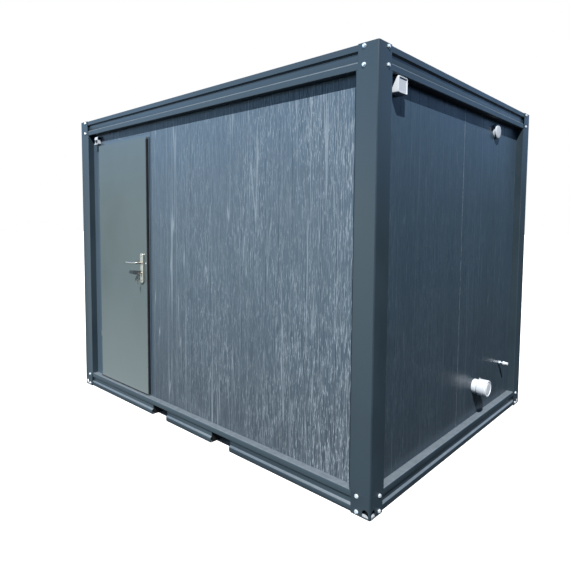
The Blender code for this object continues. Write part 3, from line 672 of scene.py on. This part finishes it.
class BuildWalls(bpy.types.Operator):
    """Sandwich panels with grooved outer skins and plain linings"""
    bl_idname = "cabin.build_walls"
    bl_label = "Walls"

    def execute(self, context):
        sizes = context.scene.cabin_sizes
        for outward, names in WALLS.values():
            for name in names:
                self.panel(name, outward, sizes)
        self.trims()
        first, second = sorted((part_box("right_wall_1"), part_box("right_wall_2")), key=lambda box: box[0].y)
        joint = bmesh.new()
        block(joint, (first[1].x - 0.0005, first[1].y - 0.0012, first[0].z + 0.002),
              (first[1].x + 0.0008, second[0].y + 0.0012, first[1].z - 0.002))
        keep("panel_joint_right", joint, ["galvanised"])
        return {"FINISHED"}

    def panel(self, name, outward, sizes):
        low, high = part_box(name)
        run = Vector((abs(outward.y), abs(outward.x), 0))
        start, end = low.dot(run), high.dot(run)
        faces = sorted((low.dot(outward), high.dot(outward)))
        half, deep = sizes.groove_width / 2, sizes.groove_depth
        outline = [(start, faces[0]), (start, faces[1])]
        first = math.ceil((start + 0.015) / sizes.groove_pitch)
        last = math.floor((end - 0.015) / sizes.groove_pitch)
        for k in range(first, last + 1):
            middle = k * sizes.groove_pitch
            outline += [(middle - half, faces[1]), (middle, faces[1] - deep), (middle + half, faces[1])]
        outline += [(end, faces[1]), (end, faces[0])]
        work = bmesh.new()
        skin(work, [[run * a + outward * b + Z * z for a, b in outline] for z in (low.z, high.z)])
        bmesh.ops.recalc_face_normals(work, faces=work.faces[:])
        for face in work.faces:
            face.material_index = 1 if face.normal.dot(outward) < -0.5 else 0
        # End walls take the painted-shade copy of the wall finish.
        kind = "door_frame" if name == "front_wall_strip" else "long_wall" if outward.y else "end_wall"
        keep(f"panel_{name}", work, [kind, "lining"], stands_for=(name,),
             soft=0.0022, sharp=5)

    def trims(self):
        """Cove trims up the inside corners and a skirting round the floor."""
        low = Vector((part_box("left_wall_1")[1].x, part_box("front_wall_1")[1].y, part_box("floor_deck")[1].z))
        high = Vector((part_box("right_wall_1")[0].x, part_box("back_wall_1")[0].y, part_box("ceiling_panel")[0].z))
        for corner, side_x, side_y in CORNERS:
            x = high.x if side_x > 0 else low.x
            y = high.y if side_y > 0 else low.y
            leg, gap = 0.030, 0.0006
            outline = [(gap, gap), (leg, gap), (leg, 0.003), (0.008, 0.004), (0.004, 0.008), (0.003, leg),
                       (gap, leg)]
            work = bmesh.new()
            skin(work, [[Vector((x - side_x * a, y - side_y * b, z)) for a, b in outline]
                        for z in (low.z + 0.001, high.z - 0.001)])
            keep(f"cove_{corner}", work, ["lining"])
        work = bmesh.new()
        thick, tall, clear = 0.008, 0.060, 0.034
        door_low, door_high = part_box("door_jamb_hinge")[0].x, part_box("door_jamb_lock")[1].x
        for a, b in (((low.x + clear, high.y - thick - 0.001), (high.x - clear, high.y - 0.001)),
                     ((low.x + 0.001, low.y + clear), (low.x + thick + 0.001, high.y - clear)),
                     ((high.x - thick - 0.001, low.y + clear), (high.x - 0.001, high.y - clear)),
                     ((door_high + 0.01, low.y + 0.001), (high.x - clear, low.y + thick + 0.001))):
            block(work, (*a, low.z + 0.0005), (*b, low.z + tall))
        keep("skirting", work, ["vinyl"], soft=0.002)


class BuildRoofAndFloor(bpy.types.Operator):
    """Standing seams on the roof sheet, and the finishes of roof, ceiling and floor"""
    bl_idname = "cabin.build_roof_and_floor"
    bl_label = "Roof and floor"

    def execute(self, context):
        sizes = context.scene.cabin_sizes
        low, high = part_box("roof_panel")
        repaint("galvanised", "roof_panel")
        repaint("lining", "ceiling_panel")
        repaint("vinyl", "floor_deck")
        count = int((high.x - low.x - 0.1) / sizes.seam_pitch) + 1
        start = (low.x + high.x) / 2 - (count - 1) * sizes.seam_pitch / 2
        first = (start, (low.y + high.y) / 2, high.z + sizes.seam_height / 2 + 0.0003)
        grow("roof_seams", seams_tree(), [first],
             {"Count": count, "Pitch": sizes.seam_pitch, "Bar Length": high.y - low.y - 0.02,
              "Bar Height": sizes.seam_height}, "galvanised")
        return {"FINISHED"}


class BuildDoor(bpy.types.Operator):
    """Door leaf, its frame and sill, a bead, a gasket, dark strips of painted shade round the leaf, a latch and
    hinges
    """
    bl_idname = "cabin.build_door"
    bl_label = "Door"

    def execute(self, context):
        keep("leaf", cad_copy("door_leaf"), ["door"], "door", ("door_leaf",),
             soft=0.0022, steps=3, recalculate=False)
        for name in ("door_jamb_hinge", "door_jamb_lock", "door_head"):
            keep(name.replace("door", "frame"), cad_copy(name), ["door_frame"],
                 stands_for=(name,), soft=0.0015, recalculate=False)
        keep("sill", cad_copy("door_threshold"), ["galvanised"],
             stands_for=("door_threshold",), soft=0.0015, recalculate=False)
        self.seals()
        self.latch()
        self.hinges()
        return {"FINISHED"}

    def seals(self):
        """A bead on the lock jamb, a gasket down both jambs, and near-black strips on the leaf's lock edge and foot
        that are painted shade for the gap round the leaf.
        """
        low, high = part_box("door_leaf")
        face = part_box("door_jamb_lock")[0].y
        bead = bmesh.new()
        x = high.x + 0.0015
        block(bead, (x, face - 0.0030, low.z + 0.004), (x + 0.0090, face + 0.0002, high.z + 0.004))
        keep("jamb_bead", bead, ["door_frame"], soft=0.0008)
        gasket = bmesh.new()
        for x in (high.x + 0.0125, low.x - 0.0095):
            block(gasket, (x, face - 0.0008, low.z + 0.01), (x + 0.004, face + 0.0002, high.z + 0.006))
        keep("weather_seal", gasket, ["rubber"])
        # Painted shade: near-black strips stand for the dark gap along the lock edge and under the leaf.
        edge = bmesh.new()
        front, back = low.y - 0.0006, low.y + 0.0165
        block(edge, (high.x - 0.0085, front, low.z + 0.006), (high.x + 0.0008, back, high.z - 0.014))
        block(edge, (low.x + 0.004, front, low.z - 0.0006), (high.x - 0.0090, back, low.z + 0.0070))
        keep("leaf_edge_seal", edge, ["rubber"], "door")

    def latch(self):
        low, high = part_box("door_leaf")
        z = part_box("lever_outer")[0].z
        latch = bmesh.new()
        block(latch, (high.x - 0.0285, low.y - 0.0020, z + 0.001),
              (high.x - 0.0125, low.y + 0.001, z + 0.012))
        keep("latch_mark", latch, ["zinc"], "door", soft=0.0006)

    def hinges(self):
        for name in ("hinge_lower", "hinge_upper"):
            repaint("frame", name)
            low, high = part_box(name)
            pin = bmesh.new()
            turned(pin, Vector(((low.x + high.x) / 2, low.y + 0.008, high.z)), Z,
                   [(0.0003, 0.0062), (0.002, 0.0062), (0.0036, 0.0045), (0.0042, 0.002)], 20)
            keep(f"{name}_pin", pin, ["zinc"])


class BuildHandles(bpy.types.Operator):
    """Long backplates, levers, lock cylinder and keys"""
    bl_idname = "cabin.build_handles"
    bl_label = "Handles"

    def execute(self, context):
        sizes = context.scene.cabin_sizes
        for side, outward in (("outer", -1), ("inner", 1)):
            out = Y * outward
            low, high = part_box(f"handle_plate_{side}")
            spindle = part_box(f"lever_{side}")
            x, z = (low.x + high.x) / 2, (spindle[0].z + spindle[1].z) / 2
            back = high.y if outward < 0 else low.y
            rise = high.y - low.y - 0.006
            plate = bmesh.new()
            pillow(plate, Vector((x, back, (low.z + high.z) / 2)), X, Z, out, high.x - low.x,
                   high.z - low.z, 0.014,
                   [(0, 0), (0, rise - 0.0025), (0.0012, rise - 0.0008), (0.003, rise),
                    (0.006, rise + 0.0002)])
            turned(plate, Vector((x, back, z)) + out * (rise - 0.0002), out,
                   [(0, 0.0165), (0.003, 0.0165), (0.0046, 0.0140), (0.005, 0.0105)])
            cylinder_z = z - CYLINDER_DROP
            turned(plate, Vector((x, back, cylinder_z)) + out * (rise - 0.0002), out,
                   [(0, 0.0095), (0.0050, 0.0095), (0.0062, 0.0080)])
            pillow(plate, Vector((x, back, cylinder_z - 0.017)) + out * (rise - 0.0002), X, Z, out,
                   0.011, 0.024, 0.0050, [(0, 0), (0, 0.0045), (0.001, 0.0058)])
            keep(f"backplate_{side}", plate, ["stainless"], "door",
                 (f"handle_plate_{side}",))
            face = back + outward * (rise - 0.0001)
            fixings(f"plate_screws_{side}", [(x, face, z + 0.052), (x, face, low.z + 0.022)],
                    [tuple(out)] * 2, "rubber", "door", sides=16, head_width=0.0075, head_height=0.0012,
                    washer_width=0.0085, washer_thickness=0.0005)
            self.lever(side, spindle, out, x, z, sizes.lever_radius)
        self.keys(sizes.key_size)
        return {"FINISHED"}

    def lever(self, side, spindle, out, x, z, radius):
        far = (spindle[0] if out.y < 0 else spindle[1]).y - out.y * 0.0095
        near = (spindle[1] if out.y < 0 else spindle[0]).y
        tip = spindle[0].x
        bend, bend_steps, grip_steps = 0.014, 6, 14
        path = [Vector((x, near, z))]
        path += [Vector((x, near + (far - out.y * bend - near) * s, z)) for s in (0.5, 1.0)]
        for step in range(1, bend_steps + 1):
            angle = math.radians(90 * step / bend_steps)
            path.append(Vector((x - bend * (1 - math.cos(angle)),
                                far - out.y * bend * (1 - math.sin(angle)), z)))
        start = path[-1].x
        for step in range(1, grip_steps + 1):
            t = step / grip_steps
            dip = -0.0035 * math.sin(math.pi * t) - 0.0040 * t * t
            path.append(Vector((start + (tip + 0.0005 - start) * t, far, z + dip)))
        radii = [radius] * len(path)
        radii[-1], radii[-2] = radius * 0.55, radius * 0.98
        work = bmesh.new()
        tube(work, path, radii, 18)
        keep(f"grip_{side}", work, ["stainless"], "lever", (f"lever_{side}",))

    def keys(self, size):
        low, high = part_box("handle_plate_outer")
        x = (low.x + high.x) / 2
        z = sum(c.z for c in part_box("lever_outer")) / 2 - CYLINDER_DROP
        front = low.y - 0.0002
        blade = bmesh.new()
        block(blade, (x - 0.0011, front - 0.022, z - 0.004), (x + 0.0011, front + 0.004, z + 0.004))
        pillow(blade, Vector((x - 0.0011, front - 0.030, z - 0.062)), Y, Z, X, 0.020, 0.022, 0.009,
               [(0, 0), (0, 0.0022)])
        block(blade, (x - 0.0008, front - 0.034, z - 0.098), (x + 0.0010, front - 0.026, z - 0.070))
        turns = [2 * math.pi * i / 28 for i in range(28)]
        ring(blade, [Vector((x, front - 0.031 + 0.015 * math.cos(t), z - 0.032 + 0.019 * math.sin(t)))
                     for t in turns], X, 0.0012)
        keep("key_metal", blade, ["stainless"], "door")
        head = bmesh.new()
        across = Vector((-0.985, -0.17, 0)).normalized()
        thick = across.cross(Z)
        pillow(head, Vector((x, front - 0.004, z)) + across * 0.052 - thick * 0.0045, across, Z, thick,
               0.078, size, 0.008, [(0.001, 0), (0, 0.0012), (0, 0.0078), (0.001, 0.0090)])
        keep("key_head", head, ["rubber"], "door")


class BuildConnections(bpy.types.Operator):
    """Cable port, power inlet, vent, waste stub and water inlet"""
    bl_idname = "cabin.build_connections"
    bl_label = "Connections"

    def execute(self, context):
        self.port()
        self.inlet()
        self.vent()
        self.waste()
        self.water()
        return {"FINISHED"}

    def white(self, name, work, *nodes, soft=0.0):
        keep(name, work, ["plastic"], stands_for=nodes, soft=soft)

    def against_wall(self, name):
        """The middle of a fitting's back, how far it reaches from there, and its radius."""
        low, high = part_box(name)
        middle = Vector((low.x, (low.y + high.y) / 2, (low.z + high.z) / 2))
        return middle, high.x - low.x, (high.z - low.z) / 2

    def port(self):
        low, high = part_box("cable_port_box")
        tall, deep = high.z - low.z, high.y - low.y
        hood = bmesh.new()
        front = low.y + 0.008
        for a, b in (((low.x, front, low.z), (low.x + 0.003, high.y, high.z - 0.008)),
                     ((high.x - 0.003, front, low.z), (high.x, high.y, high.z - 0.008)),
                     ((low.x, low.y, low.z), (high.x, high.y, low.z + 0.011))):
            block(hood, a, b)
        outline = [(0, 0.041), (0, tall), (deep * 0.55, tall), (deep * 0.84, tall - 0.007),
                   (deep * 0.93, 0.054), (deep * 0.93, 0.041)]
        skin(hood, [[Vector((px, high.y - a, low.z + b)) for a, b in outline] for px in (low.x, high.x)])
        self.white("port_hood", hood, "cable_port_box", soft=0.0012)
        # Painted shade: a near-black block fills the open front under the hood.
        dark = bmesh.new()
        block(dark, (low.x + 0.0035, front + 0.004, low.z + 0.0115),
              (high.x - 0.0035, high.y - 0.001, low.z + 0.0405))
        keep("port_throat", dark, ["rubber"])

    def inlet(self):
        low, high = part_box("power_inlet_box")
        middle, reach, _ = self.against_wall("power_inlet_box")
        body = bmesh.new()
        pillow(body, middle, Y, Z, X, high.y - low.y, high.z - low.z, 0.010,
               [(0, 0), (0, reach - 0.004), (0.0012, reach - 0.0012), (0.003, reach), (0.0068, reach),
                (0.0078, reach - 0.0012), (0.0082, reach - 0.0042)])
        self.white("power_inlet", body, "power_inlet_box")

    def vent(self):
        middle, _, r = self.against_wall("vent_cap")
        work = bmesh.new()
        turned(work, middle, X, [
            (0, r), (0.006, r), (0.0085, r - 0.003), (0.009, r - 0.012), (0.0145, r - 0.013),
            (0.0148, r - 0.004), (0.0162, r - 0.0015), (0.021, r - 0.0015), (0.0235, r - 0.005),
            (0.0250, r - 0.014), (0.0257, r - 0.030), (0.026, 0.004)], 56)
        self.white("vent", work, "vent_cap")

    def waste(self):
        middle, reach, r = self.against_wall("waste_pipe")
        profile = [(0, r - 0.003)]
        for k in range(3):
            at = 0.003 + k * (reach - 0.010) / 3
            profile += [(at, r - 0.003), (at + 0.0015, r), (at + 0.0055, r), (at + 0.007, r - 0.003)]
        profile += [(reach - 0.006, r - 0.004), (reach - 0.003, r - 0.010), (reach, r - 0.010)]
        pipe = bmesh.new()
        turned(pipe, middle, X, profile, 56)
        self.white("waste_stub", pipe, "waste_pipe")
        back, d, r = self.against_wall("waste_cap")
        middle.x = back.x
        cap = bmesh.new()
        turned(cap, middle, X, [
            (0, r - 0.004), (0.002, r - 0.001), (0.006, r), (0.040, r), (0.042, r - 0.002),
            (0.046, r - 0.002), (0.048, r), (d - 0.006, r), (d - 0.0018, r - 0.0018), (d, r - 0.006),
            (d, r - 0.011), (d - 0.004, r - 0.013), (d - 0.004, r - 0.019), (d - 0.0008, r - 0.021),
            (d - 0.0004, 0.004)], 56)
        turned(cap, middle + Vector((0.006, 0, r - 0.002)), Z,
               [(0, 0.003), (0.009, 0.003), (0.010, 0.0022)], 12)
        self.white("waste_cover", cap, "waste_cap")

    def water(self):
        middle, reach, r = self.against_wall("water_inlet")
        nut = bmesh.new()
        turned(nut, middle, X, [(0, r * 0.96), (0.0015, r), (0.017, r), (0.019, r * 0.94), (0.0205, r * 0.6),
                                (0.036, r * 0.6)], 6)
        keep("water_nut", nut, ["galvanised"], stands_for=("water_inlet",))
        cap = bmesh.new()
        turned(cap, middle + X * 0.0355, X, [
            (0, r * 0.86), (0.003, r * 0.98), (0.012, r * 0.98), (0.014, r * 0.8),
            (reach - 0.0365, r * 0.72), (reach - 0.0355, r * 0.6)], 28)
        for turn in (0, 60, 120):
            angle = math.radians(turn)
            wing = Y * math.cos(angle) + Z * math.sin(angle)
            thick = X.cross(wing)
            outline = [(0.0375, -r * 0.99), (0.0375, r * 0.99), (0.0475, r * 0.99), (0.0475, -r * 0.99)]
            skin(cap, [[middle + X * a + wing * b + thick * t for a, b in outline]
                       for t in (-0.0018, 0.0018)])
        self.white("water_cap", cap)


class BuildStage(bpy.types.Operator):
    """Pale floor, sky light, a key lamp, a weak fill lamp behind, and the camera"""
    bl_idname = "cabin.build_stage"
    bl_label = "Stage"

    def execute(self, context):
        scene = context.scene
        self.floor(scene)
        self.sky(scene)
        self.lamp(scene, "key", **KEY_LAMP)
        self.lamp(scene, "fill", **FILL_LAMP)
        self.camera(scene)
        scene.view_settings.view_transform = "Standard"
        return {"FINISHED"}

    def floor(self, scene):
        work = bmesh.new()
        block(work, (-60, -60, -0.02), (60, 60, 0))
        mesh = bpy.data.meshes.new("stage_floor")
        work.to_mesh(mesh)
        work.free()
        floor = bpy.data.objects.new("stage_floor", mesh)
        scene.collection.objects.link(floor)
        matt, _, shader = blank("stage_floor_paint")
        shader.inputs["Base Color"].default_value = tuple(scene.cabin_colours.stage_floor)
        shader.inputs["Roughness"].default_value = 0.9
        mesh.materials.append(matt)
        floor.visible_diffuse = floor.visible_glossy = False   # the sky gives the bounce light

    def lamp(self, scene, name, strength, degrees, source, tint):
        """A sun that shines from this direction, as wide in the sky as these degrees."""
        light = bpy.data.lights.new(name, "SUN")
        light.energy, light.angle, light.color = strength, math.radians(degrees), tint
        lamp = bpy.data.objects.new(name, light)
        lamp.rotation_euler = Vector(source).to_track_quat("Z", "Y").to_euler()
        scene.collection.objects.link(lamp)

    def camera(self, scene):
        lens = bpy.data.cameras.new("camera")
        lens.lens, lens.sensor_width, lens.clip_end = LENS, 36.0, 300
        lens.shift_x, lens.shift_y = LENS_SHIFT
        camera = bpy.data.objects.new("camera", lens)
        turn = (Matrix.Rotation(CAMERA_HEADING, 4, "Z") @ Matrix.Rotation(CAMERA_TILT, 4, "X")
                @ Matrix.Rotation(CAMERA_ROLL, 4, "Y") @ Matrix.Rotation(math.pi / 2, 4, "X"))
        camera.matrix_world = Matrix.Translation(CAMERA_PLACE) @ turn
        scene.collection.objects.link(camera)
        scene.camera = camera

    def sky(self, scene):
        """Soft bluish light: brighter to the left front, darker to the right back, white to the lens."""
        world = bpy.data.worlds.new("sky")
        scene.world = world
        world.use_nodes = True
        tree = world.node_tree
        tree.nodes.clear()
        place = node(tree, "ShaderNodeTexCoord").outputs["Generated"]
        side = node(tree, "ShaderNodeVectorMath", {0: place, 1: BRIGHT_SIDE}, operation="DOT_PRODUCT")
        level = node(tree, "ShaderNodeSeparateXYZ", {"Vector": place}).outputs["Z"]
        turn = node(tree, "ShaderNodeMapRange", {
            "Value": side.outputs["Value"], "From Min": 0.66, "From Max": 0.97})
        narrow = node(tree, "ShaderNodeMapRange", {
            "Value": side.outputs["Value"], "From Min": 0.84, "From Max": 0.98})
        bands = []
        for dull, bright in (((0.05, 0.06, 0.07, 1), (0.95, 1.25, 1.45, 1)),
                             ((0.06, 0.09, 0.10, 1), (0.75, 0.85, 0.86, 1)),
                             ((0.40, 0.68, 1.15, 1), (1.45, 2.30, 3.40, 1))):
            bands.append(node(tree, "ShaderNodeMix", {
                0: turn.outputs["Result"], 6: dull, 7: bright}, data_type="RGBA").outputs[2])
        ground, hedge, air = bands
        trees = node(tree, "ShaderNodeMix", {
            0: narrow.outputs["Result"], 6: hedge, 7: (2.30, 2.80, 2.85, 1)}, data_type="RGBA")
        glow = ground
        for low, high, band in ((-0.30, -0.08, trees.outputs[2]), (0.02, 0.24, air),
                                (0.30, 0.85, (0.22, 0.34, 0.55, 1))):
            share = node(tree, "ShaderNodeMapRange", {"Value": level, "From Min": low, "From Max": high})
            glow = node(tree, "ShaderNodeMix", {0: share.outputs["Result"], 6: glow, 7: band},
                        data_type="RGBA").outputs[2]
        path = node(tree, "ShaderNodeLightPath").outputs
        dim = node(tree, "ShaderNodeMix", {0: 0.88, 6: glow, 7: (0, 0, 0, 1)}, data_type="RGBA")
        spread = node(tree, "ShaderNodeMix", {
            0: path["Is Diffuse Ray"], 6: glow, 7: dim.outputs[2]}, data_type="RGBA")
        seen = node(tree, "ShaderNodeMix", {
            0: path["Is Camera Ray"], 6: spread.outputs[2], 7: (1, 1, 1, 1)}, data_type="RGBA")
        light = node(tree, "ShaderNodeBackground", {"Color": seen.outputs[2], "Strength": 1.0})
        node(tree, "ShaderNodeOutputWorld", {"Surface": light.outputs["Background"]})


OPERATORS = (BuildFrame, BuildBolts, BuildWalls, BuildRoofAndFloor, BuildDoor, BuildHandles,
             BuildConnections, BuildStage)


class CabinPanel(bpy.types.Panel):
    """Sizes, colours and build steps of the cabin"""
    bl_idname = "VIEW3D_PT_cabin"
    bl_label = "Portable cabin"
    bl_space_type = "VIEW_3D"
    bl_region_type = "UI"
    bl_category = "Cabin"

    def draw(self, context):
        for group in (context.scene.cabin_colours, context.scene.cabin_sizes):
            column = self.layout.column()
            for name in group.__annotations__:
                column.prop(group, name)
        for operator in OPERATORS:
            self.layout.operator(operator.bl_idname)


CLASSES = (CabinColours, CabinSizes, *OPERATORS, CabinPanel)


def register():
    for item in CLASSES:
        bpy.utils.register_class(item)
    bpy.types.Scene.cabin_colours = bpy.props.PointerProperty(type=CabinColours)
    bpy.types.Scene.cabin_sizes = bpy.props.PointerProperty(type=CabinSizes)


def unregister():
    del bpy.types.Scene.cabin_sizes
    del bpy.types.Scene.cabin_colours
    for item in reversed(CLASSES):
        bpy.utils.unregister_class(item)


def main():
    """Register, then build every piece in order."""
    register()
    for operator in OPERATORS:
        group, name = operator.bl_idname.split(".")
        getattr(getattr(bpy.ops, group), name)()


if __name__ == "__main__":
    main()
